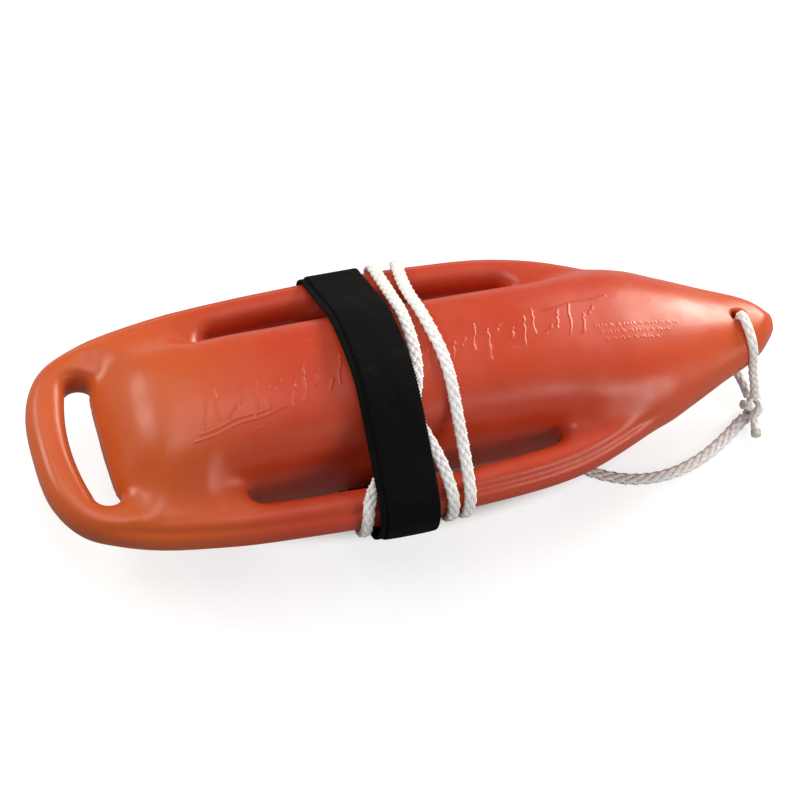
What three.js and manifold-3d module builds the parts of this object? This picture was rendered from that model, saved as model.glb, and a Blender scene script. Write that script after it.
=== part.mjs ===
// Lifeguard rescue can (torpedo buoy): a hollow moulded hull with a rear handle and two side handles,
// a nylon tow line wound round it, and a webbing shoulder loop folded flat and wrapped over the line.
// Millimetres. +X runs from the rear handle to the nose, +Y is the left side and +Z is up.
// The origin lies under the middle of the hull, on the surface that it rests on.
import * as THREE from "three";
import { mergeVertices } from "three/addons/utils/BufferGeometryUtils.js";
import Module from "manifold-3d";

const wasm = await Module();
wasm.setup();

// ---- Driving dimensions ----
const LENGTH = 711; // 28 in
const HALF_LENGTH = LENGTH / 2;
const DOME_HALF_HEIGHT = 70; // 5.5 in thick in all
const WALL = 3.2; // blow-moulded polyethylene wall
const RIM_WIDTH = 33; // the bar that the hand closes round
const RIM_HALF_THICKNESS = 19;
const RIM_ROUND = 12; // rounding of the bar, seen from above
const RIM_ROUND_HEIGHT = 15; // the same rounding, seen from the end
const SLOT_REAR_X = -178;
const SLOT_FRONT_X = 120;
const SLOT_INNER_Y = 66; // the dome's side wall covers this edge
const HANDLE_HALF_LENGTH = 68;
const HANDLE_REAR_X = -HALF_LENGTH + 34;
const HANDLE_FRONT_X = -290;
const NOSE_HOLE_X = 319;
const NOSE_HOLE_RADIUS = 7;
const VENT_X = -113;
const VENT_HOLE_RADIUS = 7;

const ROPE_WIDTH = 13; // 3/8 in hollow braid, pressed flat
const ROPE_THICKNESS = 6.5;
const LOOP_DIAMETER = 9.6; // the same rope where nothing presses it
const WEBBING_WIDTH = 50; // 2 in webbing
const WEBBING_THICKNESS = 1.8;
const STRAP_X = -44.5; // middle of the folded strap
const LAYER_SHIFT = 7; // how far the two layers of the fold lie out of line
const RIM_STANDOFF = 1.6; // between the strap and the left rim
const GAP = 0.3; // clearance between pieces that touch
const ROPE_CLEARANCE = 0.9; // on both sides of the rope where it bends round the hull
const LONGEST_STEP = 42; // the wound rope's steps: this long when straight
const SHARPEST_STEP = 0.38; // and turning by this angle when it bends (radians)

const STRAP_START = -0.115; // shares of the way round, from the left edge over the top
const STRAP_END = 0.855;
const KNOT_TURN = 0.87; // the knot lies where the two folds meet
const SEAM_TURN = 0.655;
const FOOT_HALF_WIDTH = 19; // the webbing is pressed flat where the object rests on it
const WHIPPING_LENGTH = 7;
const WHIPPING_RADIUS = 5.2;
const NOSE_KNOT = new THREE.Vector3(336, -44, 13);
const NOSE_KNOT_SIZE = [15, 14, 12.5];
const NOSE_TAIL_END = new THREE.Vector3(332, -67, 8.5);
const STRAP_KNOT_SIZE = [15, 11, 11];
const PLUG_RADIUS = 11;
const FLANGE_THICKNESS = 2.4;
const SEAL_RADIUS = 10;
const SEAL_HOLE = 7.2;
const SEAL_THICKNESS = 1.2;

const ROPE_LAYER = ROPE_THICKNESS + 2 * ROPE_CLEARANCE;
const STRAP_THICKNESS = 2 * WEBBING_THICKNESS;
const MID_Z = DOME_HALF_HEIGHT + ROPE_LAYER + STRAP_THICKNESS; // the hull's parting plane

// Half width of the hull seen from above, from the rear end to the nose
const OUTLINE = [
  [-HALF_LENGTH, 0], [-350, 53], [-330, 86], [-290, 108], [-210, 124.5], [-100, 131.5],
  [20, 132], [130, 120], [220, 84], [290, 49], [335, 26.5], [HALF_LENGTH, 0],
];

// The dome: x, half width, half height and the power of its superelliptic section
const DOME = [
  [-290.6, 54, 9, 2.4], [-279, 62, 29, 2.5], [-259, 69, 49, 2.6], [-234, 72, 60.5, 2.8],
  [-200, 73, 66.5, 2.9], [-130, 73, 70, 2.9], [20, 73, 70, 2.9], [90, 73, 68.5, 2.9],
  [130, 75, 66, 2.7], [170, 81, 61, 2.5], [200, 82, 57, 2.4], [225, 78.5, 52, 2.3],
  [255, 66, 45.5, 2.2], [290, 48, 35, 2.2], [320, 33, 25.5, 2.2], [340, 22, 18, 2.2], [352, 10, 9, 2.2],
];

// ---- Small helpers ----
const clamp = (value, low, high) => Math.min(high, Math.max(low, value));

function smoothStep(low, high, value) {
  const t = clamp((value - low) / (high - low), 0, 1);
  return t * t * (3 - 2 * t);
}

// Column of a table of rows that start with x, read at x by smooth interpolation that never overshoots
function readTable(table, column, x) {
  const last = table.length - 1;
  if (x <= table[0][0]) return table[0][column];
  if (x >= table[last][0]) return table[last][column];
  const i = table.findIndex((row) => row[0] > x) - 1;
  const secant = (k) => (table[k + 1][column] - table[k][column]) / (table[k + 1][0] - table[k][0]);
  const slope = (k) => {
    if (k === 0) return secant(0);
    if (k === last) return secant(last - 1);
    const before = secant(k - 1);
    const after = secant(k);
    return before * after > 0 ? (2 * before * after) / (before + after) : 0;
  };
  const [from, to] = [table[i], table[i + 1]];
  const span = to[0] - from[0];
  const t = (x - from[0]) / span;
  const rise = smoothStep(0, 1, t);
  return from[column] * (1 - rise) + to[column] * rise
    + span * (slope(i) * t * (1 - t) ** 2 - slope(i + 1) * t * t * (1 - t));
}

function superellipse(angle, power) {
  const c = Math.cos(angle);
  const s = Math.sin(angle);
  return [Math.sign(c) * Math.abs(c) ** (2 / power), Math.sign(s) * Math.abs(s) ** (2 / power)];
}

function toManifold(geometry) {
  const bare = geometry.clone();
  bare.deleteAttribute("normal");
  bare.deleteAttribute("uv");
  const merged = mergeVertices(bare, 1e-4);
  return new wasm.Manifold(new wasm.Mesh({
    numProp: 3,
    vertProperties: new Float32Array(merged.attributes.position.array),
    triVerts: new Uint32Array(merged.index.array),
  }));
}

function toGeometry(solid) {
  const mesh = solid.getMesh();
  const geometry = new THREE.BufferGeometry();
  geometry.setAttribute("position", new THREE.BufferAttribute(new Float32Array(mesh.vertProperties), 3));
  geometry.setIndex(new THREE.BufferAttribute(new Uint32Array(mesh.triVerts), 1));
  geometry.computeVertexNormals();
  return geometry;
}

// ---- Hull ----
// The plan outline as a closed ring, moved inwards by inset
function outlineRing(inset, count) {
  const half = OUTLINE.map(([x, y]) => new THREE.Vector2(x, y));
  const otherHalf = OUTLINE.slice(1, -1).reverse().map(([x, y]) => new THREE.Vector2(x, -y));
  const points = [...half, ...otherHalf].map((p) => new THREE.Vector3(p.x, p.y, 0));
  const ring = new THREE.CatmullRomCurve3(points, true, "centripetal");
  const list = [];
  for (let i = 0; i < count; i += 1) {
    const t = i / count;
    const p = ring.getPointAt(t);
    const tangent = ring.getTangentAt(t);
    list.push(new THREE.Vector2(p.x + tangent.y * inset, p.y - tangent.x * inset));
  }
  return list;
}

const RING = outlineRing(0, 720);

// Half width of the plan outline at x
function halfWidth(x) {
  let best = 0;
  for (let i = 0; i < RING.length; i += 1) {
    const a = RING[i];
    const b = RING[(i + 1) % RING.length];
    if (a.y < 0 || b.y < 0 || (a.x - x) * (b.x - x) > 0 || a.x === b.x) continue;
    best = Math.max(best, a.y + ((x - a.x) / (b.x - a.x)) * (b.y - a.y));
  }
  return best;
}

// A rounded slot: along runs from start to end, and edges(along) gives its two sides
function slotRing(start, end, round, edges, swap) {
  const near = [];
  const far = [];
  const arcSteps = 4;
  const straightSteps = 5;
  const stations = [];
  for (let i = 0; i <= arcSteps; i += 1) {
    stations.push(start + round * (1 - Math.cos((i / arcSteps) * Math.PI / 2)));
  }
  for (let i = 1; i < straightSteps; i += 1) {
    stations.push(start + round + ((end - start - 2 * round) * i) / straightSteps);
  }
  for (let i = arcSteps; i >= 0; i -= 1) {
    stations.push(end - round * (1 - Math.cos((i / arcSteps) * Math.PI / 2)));
  }
  for (const s of stations) {
    const depth = clamp(Math.min(s - start, end - s) / round, 0, 1);
    const open = Math.sqrt(1 - (1 - depth) ** 2);
    const [low, high] = edges(clamp(s, start + round, end - round));
    const middle = (low + high) / 2;
    const half = ((high - low) / 2) * open;
    near.push([s, middle - half]);
    if (open > 0) far.unshift([s, middle + half]);
  }
  const ring = [...near, ...far].map(([s, v]) => (swap ? new THREE.Vector2(v, s) : new THREE.Vector2(s, v)));
  return THREE.ShapeUtils.isClockWise(ring) ? ring : ring.reverse();
}

// The three handle slots, made wider by grow all round
function handleSlots(grow) {
  const side = (sign) => slotRing(SLOT_REAR_X - grow, SLOT_FRONT_X + grow, 15 + grow, (x) => {
    const outer = halfWidth(x) - RIM_WIDTH + grow;
    const inner = SLOT_INNER_Y - grow;
    return sign > 0 ? [inner, outer] : [-outer, -inner];
  }, false);
  const length = HANDLE_HALF_LENGTH + grow;
  const rear = slotRing(-length, length, 13 + grow, (y) => {
    const bow = (y / HANDLE_HALF_LENGTH) ** 2;
    return [HANDLE_REAR_X + 11 * bow - grow, HANDLE_FRONT_X + 4 * bow + grow];
  }, true);
  return [side(1), side(-1), rear];
}

// The flat frame with rounded edges that carries the three handles
function frameBlank(inset, count, bevelSegments) {
  const shape = new THREE.Shape(outlineRing(inset, count).reverse());
  shape.holes = handleSlots(inset).map((ring) => new THREE.Path(ring));
  const round = RIM_ROUND - inset;
  const roundHeight = RIM_ROUND_HEIGHT - inset;
  const straight = 2 * (RIM_HALF_THICKNESS - RIM_ROUND_HEIGHT);
  const geometry = new THREE.ExtrudeGeometry(shape, {
    depth: straight,
    bevelEnabled: true,
    bevelSize: round,
    bevelOffset: -round,
    bevelThickness: roundHeight,
    bevelSegments,
    curveSegments: 1,
    steps: 1,
  });
  geometry.translate(0, 0, -straight / 2);
  return toManifold(geometry);
}

// The boat-shaped float body, as a lathe form pressed into superelliptic sections
function domeBlank(inset, radialSegments, lengthSteps) {
  const rear = DOME[0][0];
  const front = DOME[DOME.length - 1][0];
  const profile = [new THREE.Vector2(0, rear + inset)];
  for (let i = 0; i <= lengthSteps; i += 1) {
    const x = rear + inset + ((front - rear - 2 * inset) * i) / lengthSteps;
    profile.push(new THREE.Vector2(1, x));
  }
  profile.push(new THREE.Vector2(0, front - inset));
  const geometry = new THREE.LatheGeometry(profile, radialSegments);
  const position = geometry.attributes.position;
  for (let i = 0; i < position.count; i += 1) {
    const along = position.getY(i);
    const radius = Math.hypot(position.getX(i), position.getZ(i));
    const angle = Math.atan2(position.getX(i), position.getZ(i));
    const [c, s] = superellipse(angle, readTable(DOME, 3, along));
    const across = Math.max(readTable(DOME, 1, along) - inset, 1) * radius;
    const up = Math.max(readTable(DOME, 2, along) - inset, 1) * radius;
    position.setXYZ(i, along, across * c, up * s);
  }
  return toManifold(geometry);
}

function uprightCylinder(radius, height, x, z, segments) {
  const geometry = new THREE.CylinderGeometry(radius, radius, height, segments);
  geometry.rotateX(Math.PI / 2);
  geometry.translate(x, 0, z);
  return toManifold(geometry);
}

function buildHull() {
  const outside = frameBlank(0, 72, 2).add(domeBlank(0, 32, 28));
  const noseBoss = uprightCylinder(NOSE_HOLE_RADIUS + WALL, 80, NOSE_HOLE_X, 0, 20);
  const inside = frameBlank(WALL, 48, 1).add(domeBlank(WALL, 20, 14)).subtract(noseBoss);
  const noseHole = uprightCylinder(NOSE_HOLE_RADIUS, 90, NOSE_HOLE_X, 0, 20);
  const ventHole = uprightCylinder(VENT_HOLE_RADIUS, 20, VENT_X, -DOME_HALF_HEIGHT, 20);
  return toGeometry(outside.subtract(inside).subtract(noseHole).subtract(ventHole));
}

// ---- The line that a taut wrap follows round the hull ----
// Upper left quarter of the hull's section at x, as points about the parting plane
function quarterSection(x) {
  const points = [];
  const power = readTable(DOME, 3, x);
  for (let i = 0; i <= 16; i += 1) {
    const [c, s] = superellipse((i / 16) * Math.PI / 2, power);
    points.push([readTable(DOME, 1, x) * c, readTable(DOME, 2, x) * s]);
  }
  const width = halfWidth(x);
  for (let i = 0; i <= 6; i += 1) {
    const a = (i / 6) * Math.PI / 2;
    points.push([
      width - RIM_ROUND + RIM_ROUND * Math.cos(a),
      RIM_HALF_THICKNESS - RIM_ROUND_HEIGHT + RIM_ROUND_HEIGHT * Math.sin(a),
    ]);
  }
  return points;
}

function convexHull(points) {
  const sorted = [...points].sort((a, b) => a[0] - b[0] || a[1] - b[1]);
  const cross = (o, a, b) => (a[0] - o[0]) * (b[1] - o[1]) - (a[1] - o[1]) * (b[0] - o[0]);
  const chain = (list) => {
    const out = [];
    for (const p of list) {
      while (out.length > 1 && cross(out[out.length - 2], out[out.length - 1], p) <= 1e-6) out.pop();
      out.push(p);
    }
    out.pop();
    return out;
  };
  return [...chain(sorted), ...chain([...sorted].reverse())];
}

// The convex line round the section at x, from the left edge over the top, with its outward normals
function wrapLine(x) {
  const quarter = quarterSection(x);
  const all = quarter.flatMap(([y, z]) => [[y, z], [-y, z], [y, -z], [-y, -z]]);
  const hull = convexHull(all);
  const isBelow = (i) => hull[(i + hull.length) % hull.length][1] < 0;
  const start = hull.findIndex(([y], i) => y > 0 && !isBelow(i) && isBelow(i - 1));
  const ring = [[halfWidth(x), 0], ...hull.map((_, i) => hull[(start + i) % hull.length])];
  const lengths = [0];
  for (let i = 1; i <= ring.length; i += 1) {
    const a = ring[i - 1];
    const b = ring[i % ring.length];
    lengths.push(lengths[i - 1] + Math.hypot(b[0] - a[0], b[1] - a[1]));
  }
  return { ring, lengths, total: lengths[ring.length] };
}

// Point at a share of the way round (0 left edge, 0.25 top, 0.5 right edge), held off by offset
function wrapPoint(x, turn, offset) {
  const { ring, lengths, total } = wrapLine(x);
  const at = (share) => {
    const s = (((share % 1) + 1) % 1) * total;
    const i = clamp(lengths.findIndex((v) => v > s) - 1, 0, ring.length - 1);
    const a = ring[i];
    const b = ring[(i + 1) % ring.length];
    const t = (s - lengths[i]) / (lengths[i + 1] - lengths[i]);
    return [a[0] + (b[0] - a[0]) * t, a[1] + (b[1] - a[1]) * t];
  };
  const reach = 0.005;
  const before = at(turn - reach);
  const after = at(turn + reach);
  const length = Math.hypot(after[0] - before[0], after[1] - before[1]);
  const normal = new THREE.Vector3(0, (after[1] - before[1]) / length, -(after[0] - before[0]) / length);
  const [y, z] = at(turn);
  return { point: new THREE.Vector3(x, y + normal.y * offset, MID_Z + z + normal.z * offset), normal };
}

// Point on the dome's own section at an angle from its left edge, held off by offset
function domePoint(x, angle, offset) {
  const at = (a) => {
    const [c, s] = superellipse(a, readTable(DOME, 3, x));
    return [readTable(DOME, 1, x) * c, readTable(DOME, 2, x) * s];
  };
  const reach = 0.03;
  const before = at(angle - reach);
  const after = at(angle + reach);
  const length = Math.hypot(after[0] - before[0], after[1] - before[1]);
  const normal = new THREE.Vector3(0, (after[1] - before[1]) / length, -(after[0] - before[0]) / length);
  const [y, z] = at(angle);
  return { point: new THREE.Vector3(x, y + normal.y * offset, MID_Z + z + normal.z * offset), normal };
}

// ---- Tow line ----
// Lying on the ground from the nose knot to the hull: x and y
const FLOOR_RUN = [
  [322, -53], [311, -61], [296, -71], [276, -82], [252, -91], [226, -95],
  [201, -92.5], [178, -84], [158, -71], [140, -54], [124, -34], [111, -14],
];
// Then wound round the hull: share of the way round, x, and how many strands lie beneath
const WINDING_TO_SLOT = [
  [-0.235, 96, 0], [-0.17, 74, 0], [-0.1, 52, 0], [-0.04, 35, 0], [0, 26, 0], [0.04, 20.3, 0],
  [0.08, 16, 0], [0.12, 13.3, 0], [0.16, 12.2, 0], [0.2, 13, 0], [0.25, 16.6, 0], [0.29, 18, 0],
  [0.34, 17.6, 0], [0.42, 17, 0], [0.46, 16.2, 0], [0.5, 14.5, 0], [0.54, 13.8, 0], [0.62, 11.8, 0],
  [0.72, 7.5, 0], [0.82, 3.4, 0], [0.92, 0.2, 0], [1, -1.2, 0], [1.08, -2.6, 0], [1.17, -4.4, 0],
  [1.24, -5.6, 0], [1.28, -8.6, 0], [1.31, -14, 0], [1.35, -25, 0], [1.39, -42, 0], [1.43, -64, 0],
  [1.45, -74, 0], [1.47, -79.5, 0], [1.49, -81.5, 0], [1.52, -81.5, 0], [1.6, -79, 0], [1.7, -75.5, 0],
  [1.77, -73, 0],
];
// It comes up through the left handle slot, close to the dome: angle on the dome's section and x
const SLOT_PASS = { from: [-70, -71.5], to: [70, -45.5] };
// Over the dome for the last time, across the second turn, and round to the knot
const WINDING_FROM_SLOT = [
  [2.21, -43, 0], [2.25, -38.5, 0], [2.28, -34.5, 0.4], [2.33, -27, 1], [2.37, -19.5, 1],
  [2.4, -11.5, 0.5], [2.43, -5.2, 0.1], [2.46, -1.8, 0], [2.5, -0.5, 0], [2.56, -2, 0], [2.64, -10, 0],
  [2.72, -20, 0], [2.8, -31, 0], [2.85, -38, 0], [2.88, -41, 0],
];

// A curve that also says which way is out from the hull, so that a flat section lies against it,
// and that takes its steps closer together where it bends
class WoundCurve extends THREE.CatmullRomCurve3 {
  constructor(points, normals) {
    super(points, false, "centripetal");
    this.outward = new THREE.CatmullRomCurve3(normals, false, "catmullrom");
    this.stations = [0];
    let effort = 0;
    let last = this.getPoint(0);
    let heading = this.getTangent(0);
    const fine = 4000;
    for (let i = 1; i <= fine; i += 1) {
      const point = this.getPoint(i / fine);
      const tangent = this.getTangent(i / fine);
      effort += point.distanceTo(last) / LONGEST_STEP + tangent.angleTo(heading) / SHARPEST_STEP;
      last = point;
      heading = tangent;
      if (effort >= 1) {
        this.stations.push(i / fine);
        effort = 0;
      }
    }
    this.stations[this.stations.length - 1] = 1;
  }

  getSpacedPoints() {
    return this.stations.map((t) => this.getPoint(t));
  }

  computeFrenetFrames() {
    const frames = { tangents: [], normals: [], binormals: [] };
    for (const t of this.stations) {
      const tangent = this.getTangent(t);
      const normal = this.outward.getPoint(t);
      normal.addScaledVector(tangent, -normal.dot(tangent)).normalize();
      frames.tangents.push(tangent);
      frames.normals.push(normal);
      frames.binormals.push(new THREE.Vector3().crossVectors(tangent, normal));
    }
    return frames;
  }
}

function ropeSection(thickness, width) {
  const shape = new THREE.Shape();
  shape.absellipse(0, 0, thickness / 2, width / 2, 0, 2 * Math.PI);
  return new THREE.Shape(shape.getPoints(8).slice(0, 8));
}

function towLineRoute() {
  const points = FLOOR_RUN.map(([x, y]) => new THREE.Vector3(x, y, ROPE_THICKNESS / 2 + GAP));
  const normals = FLOOR_RUN.map(() => new THREE.Vector3(0, 0, -1));
  const standoff = ROPE_CLEARANCE + ROPE_THICKNESS / 2;
  const add = ({ point, normal }) => {
    points.push(point);
    normals.push(normal);
  };
  const wind = (table) => {
    const rows = table.map((row) => new THREE.Vector3(...row));
    const winding = new THREE.CatmullRomCurve3(rows, false, "catmullrom");
    const samples = 6 * table.length;
    for (let i = 0; i <= samples; i += 1) {
      const { x: turn, y: along, z: beneath } = winding.getPoint(i / samples);
      add(wrapPoint(along, turn, standoff + beneath * (ROPE_THICKNESS + GAP)));
    }
  };
  wind(WINDING_TO_SLOT);
  const { from, to } = SLOT_PASS;
  const steps = 12;
  for (let i = 0; i <= steps; i += 1) {
    const share = i / steps;
    const angle = THREE.MathUtils.degToRad(from[0] + (to[0] - from[0]) * share);
    add(domePoint(from[1] + (to[1] - from[1]) * share, angle, standoff));
  }
  wind(WINDING_FROM_SLOT);
  return new WoundCurve(points, normals);
}

function buildTowLine() {
  const route = towLineRoute();
  return new THREE.ExtrudeGeometry(ropeSection(ROPE_THICKNESS, ROPE_WIDTH), {
    extrudePath: route,
    steps: route.stations.length - 1,
    bevelEnabled: false,
  });
}

// The loop through the nose hole: up from the knot, over the nose, down the hole and back to the knot
const NOSE_LOOP = [
  [336, -42, 28], [334.5, -41, 38], [332, -40, 50], [329, -38.6, 63], [326.5, -37.6, 76], [325, -37, 88],
  [324, -33.6, 98.5], [323, -26, 106.5], [321.8, -18, 111], [320.8, -9, 113.4], [320.2, -2.6, 112],
  [320.2, -1.4, 104], [320.2, -1.4, 82], [320.2, -1.4, 56], [321, -4, 47], [324.5, -13, 37], [330, -26, 28],
  [332.3, -32.8, 22.6],
];

function buildNoseLoop() {
  const points = NOSE_LOOP.map((p) => new THREE.Vector3(...p));
  const route = new THREE.CatmullRomCurve3(points, false, "centripetal");
  const section = new THREE.Shape();
  section.absellipse(0, 0, LOOP_DIAMETER / 2, LOOP_DIAMETER / 2, 0, 2 * Math.PI);
  return new THREE.ExtrudeGeometry(new THREE.Shape(section.getPoints(8).slice(0, 8)), {
    extrudePath: route,
    steps: 30,
    bevelEnabled: false,
  });
}

// ---- Knots ----
function ball(x, y, z, a, b, c) {
  const geometry = new THREE.SphereGeometry(1, 18, 12);
  geometry.scale(a, b, c);
  geometry.translate(x, y, z);
  return toManifold(geometry);
}

// A straight round length of rope or binding between two points
function rod(from, to, radius) {
  const axis = new THREE.Vector3().subVectors(to, from);
  const geometry = new THREE.CylinderGeometry(radius, radius, axis.length(), 12);
  const upright = new THREE.Vector3(0, 1, 0);
  geometry.applyQuaternion(new THREE.Quaternion().setFromUnitVectors(upright, axis.clone().normalize()));
  geometry.translate(...new THREE.Vector3().addVectors(from, to).multiplyScalar(0.5).toArray());
  return geometry;
}

// Binding on a rope end: it starts a gap past the end of the tail
function whipping(from, to) {
  const along = new THREE.Vector3().subVectors(to, from).normalize();
  const start = to.clone().addScaledVector(along, GAP);
  return rod(start, start.clone().addScaledVector(along, WHIPPING_LENGTH), WHIPPING_RADIUS);
}

function buildKnot(centre, size, tailEnd) {
  const body = ball(...centre.toArray(), ...size);
  return toGeometry(body.add(toManifold(rod(centre, tailEnd, LOOP_DIAMETER / 2))));
}

// ---- Shoulder strap ----
// How far the strap's inner face stands off the hull: it lies on the left rim, then passes over one strand
// of rope, and over two where the strands cross
function strapStandoff(turn) {
  const overRope = clamp((turn - 0.05) / 0.115, 0, 1);
  const crossing = smoothStep(0.18, 0.28, turn) * (1 - smoothStep(0.44, 0.5, turn));
  return RIM_STANDOFF + (ROPE_LAYER - RIM_STANDOFF) * overRope + (ROPE_THICKNESS + GAP) * crossing;
}

// One layer of webbing, an open band from STRAP_START to STRAP_END, between two heights over the standoff
function webbingLayer(inner, outer, shift) {
  const steps = 64;
  const side = (extra) => {
    const list = [];
    for (let i = 0; i <= steps; i += 1) {
      const turn = STRAP_START + ((STRAP_END - STRAP_START) * i) / steps;
      const { point } = wrapPoint(STRAP_X, turn, strapStandoff(turn) + extra);
      const underfoot = point.z < MID_Z - DOME_HALF_HEIGHT && Math.abs(point.y) < FOOT_HALF_WIDTH;
      list.push(new THREE.Vector2(point.y, underfoot ? STRAP_THICKNESS - extra : point.z));
    }
    return list;
  };
  const shape = new THREE.Shape([...side(outer), ...side(inner).reverse()]);
  const geometry = new THREE.ExtrudeGeometry(shape, { depth: WEBBING_WIDTH, bevelEnabled: false });
  geometry.translate(0, 0, STRAP_X + shift - WEBBING_WIDTH / 2);
  geometry.applyMatrix4(new THREE.Matrix4().makeBasis(
    new THREE.Vector3(0, 1, 0),
    new THREE.Vector3(0, 0, 1),
    new THREE.Vector3(1, 0, 0),
  ));
  return toManifold(geometry);
}

function buildStrap() {
  const overlap = 0.05; // the layers are one piece of webbing, so they are joined
  const inner = webbingLayer(0, WEBBING_THICKNESS + overlap, -LAYER_SHIFT / 2);
  const outer = webbingLayer(WEBBING_THICKNESS, STRAP_THICKNESS, LAYER_SHIFT / 2);
  return toGeometry(inner.add(outer));
}

// The sewn box with a cross in it that closes the webbing into a loop
function buildStitching() {
  const [width, length, thread, depth] = [38, 50, 1, 0.6];
  const corners = (w, h) => [[-w, -h], [w, -h], [w, h], [-w, h]].map(([a, b]) => new THREE.Vector2(a, b));
  const shape = new THREE.Shape(corners(width / 2, length / 2));
  const inner = corners(width / 2 - thread, length / 2 - thread);
  const apex = (2 * thread) / width; // how far each window stays short of the middle of the cross
  for (let i = 0; i < inner.length; i += 1) {
    const [a, b] = [inner[i], inner[(i + 1) % inner.length]];
    const middle = a.clone().lerp(b, 0.5);
    const ends = [a, b].map((corner) => corner.clone().lerp(middle, 0.06));
    shape.holes.push(new THREE.Path([...ends, middle.clone().multiplyScalar(apex)]));
  }
  const geometry = new THREE.ExtrudeGeometry(shape, { depth, bevelEnabled: false });
  const standoff = ROPE_LAYER + STRAP_THICKNESS + GAP;
  const { point, normal } = wrapPoint(STRAP_X + LAYER_SHIFT / 2, SEAM_TURN, standoff);
  const across = new THREE.Vector3(1, 0, 0);
  const along = new THREE.Vector3().crossVectors(normal, across);
  geometry.applyMatrix4(new THREE.Matrix4().makeBasis(across, along, normal));
  geometry.translate(point.x, point.y, point.z);
  return geometry;
}

// ---- Vent plug under the belly ----
const BELLY_Z = MID_Z - DOME_HALF_HEIGHT;

function buildVentSeal() {
  const high = BELLY_Z - GAP;
  const low = high - SEAL_THICKNESS;
  const corners = [[SEAL_HOLE, low], [SEAL_RADIUS, low], [SEAL_RADIUS, high], [SEAL_HOLE, high]];
  const ring = [...corners, corners[0]].map(([r, z]) => new THREE.Vector2(r, z));
  const geometry = new THREE.LatheGeometry(ring, 24);
  geometry.rotateX(Math.PI / 2);
  geometry.translate(VENT_X, 0, 0);
  return geometry;
}

function buildVentPlug() {
  const flangeTop = BELLY_Z - 2 * GAP - SEAL_THICKNESS;
  const flangeMiddle = flangeTop - FLANGE_THICKNESS / 2;
  const flange = uprightCylinder(PLUG_RADIUS, FLANGE_THICKNESS, VENT_X, flangeMiddle, 24);
  const shankTop = BELLY_Z + WALL + 3;
  const shankHeight = shankTop - flangeTop + 1;
  const shank = uprightCylinder(VENT_HOLE_RADIUS - 0.4, shankHeight, VENT_X, shankTop - shankHeight / 2, 20);
  const slot = new THREE.BoxGeometry(14, 2, 2.4);
  slot.translate(VENT_X, 0, flangeTop - FLANGE_THICKNESS);
  return toGeometry(flange.add(shank).subtract(toManifold(slot)));
}

// ---- Materials ----
const material = (color, roughness) => new THREE.MeshStandardMaterial({ color, roughness, metalness: 0 });
const HULL_ORANGE = material(0xd9582f, 0.42);
const ROPE_WHITE = material(0xf1efea, 0.75);
const WEBBING_BLACK = material(0x0c0c0d, 0.85);
const THREAD_BLACK = material(0x1b1b1d, 0.7);
const PLUG_BLACK = material(0x202022, 0.5);
const SEAL_RUBBER = material(0x151515, 0.9);
const BINDING_GREY = material(0xc9c6bf, 0.6);

// ---- Assembly ----
const group = new THREE.Group();

function place(name, geometry, finish, parent = group) {
  const mesh = new THREE.Mesh(geometry, finish);
  mesh.name = name;
  parent.add(mesh);
}

const hullFrame = new THREE.Group();
hullFrame.position.z = MID_Z;
group.add(hullFrame);
place("hull", buildHull(), HULL_ORANGE, hullFrame);
place("vent_plug", buildVentPlug(), PLUG_BLACK);
place("vent_seal", buildVentSeal(), SEAL_RUBBER);

place("tow_rope", buildTowLine(), ROPE_WHITE);
place("nose_loop", buildNoseLoop(), ROPE_WHITE);
place("nose_knot", buildKnot(NOSE_KNOT, NOSE_KNOT_SIZE, NOSE_TAIL_END), ROPE_WHITE);
place("nose_tail_whipping", whipping(NOSE_KNOT, NOSE_TAIL_END), BINDING_GREY);

const strapKnot = wrapPoint(STRAP_X, KNOT_TURN, ROPE_LAYER + STRAP_KNOT_SIZE[2] + GAP).point;
const strapTailEnd = strapKnot.clone().add(new THREE.Vector3(-30, 6, -2));
place("strap_knot", buildKnot(strapKnot, STRAP_KNOT_SIZE, strapTailEnd), ROPE_WHITE);
place("strap_tail_whipping", whipping(strapKnot, strapTailEnd), BINDING_GREY);
place("shoulder_strap", buildStrap(), WEBBING_BLACK);
place("strap_stitching", buildStitching(), THREAD_BLACK);

export default group;
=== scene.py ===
import functools
import math

import bmesh
import bpy
import numpy as np
from mathutils import Matrix, Vector
from mathutils.geometry import convex_hull_2d


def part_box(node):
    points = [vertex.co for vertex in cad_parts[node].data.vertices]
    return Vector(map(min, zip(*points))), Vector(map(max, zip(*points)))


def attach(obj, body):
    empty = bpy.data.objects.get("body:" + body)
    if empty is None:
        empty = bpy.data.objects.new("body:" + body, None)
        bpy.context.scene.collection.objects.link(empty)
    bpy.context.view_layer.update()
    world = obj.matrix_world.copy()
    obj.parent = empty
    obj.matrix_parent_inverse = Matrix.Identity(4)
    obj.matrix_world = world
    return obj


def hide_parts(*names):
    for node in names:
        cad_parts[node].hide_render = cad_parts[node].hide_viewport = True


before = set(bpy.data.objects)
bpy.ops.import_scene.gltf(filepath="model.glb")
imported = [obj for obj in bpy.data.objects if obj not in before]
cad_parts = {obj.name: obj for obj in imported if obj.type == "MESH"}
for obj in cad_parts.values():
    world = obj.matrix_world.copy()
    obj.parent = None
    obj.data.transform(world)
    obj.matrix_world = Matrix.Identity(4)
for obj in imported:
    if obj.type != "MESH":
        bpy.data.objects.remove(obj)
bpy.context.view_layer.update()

# Lifeguard rescue can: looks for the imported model. Metres, +X to the nose, +Y left, +Z up.
# Heights called z below are counted from the hull's parting plane unless they say world.

# ---- Sizes ----
HULL_LOW, HULL_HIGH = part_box("hull")
HALF_LENGTH = (HULL_HIGH.x - HULL_LOW.x) / 2
DOME_HALF_HEIGHT = (HULL_HIGH.z - HULL_LOW.z) / 2
MID_Z = (HULL_HIGH.z + HULL_LOW.z) / 2
CENTRE = Vector((0, 0, MID_Z))

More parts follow.
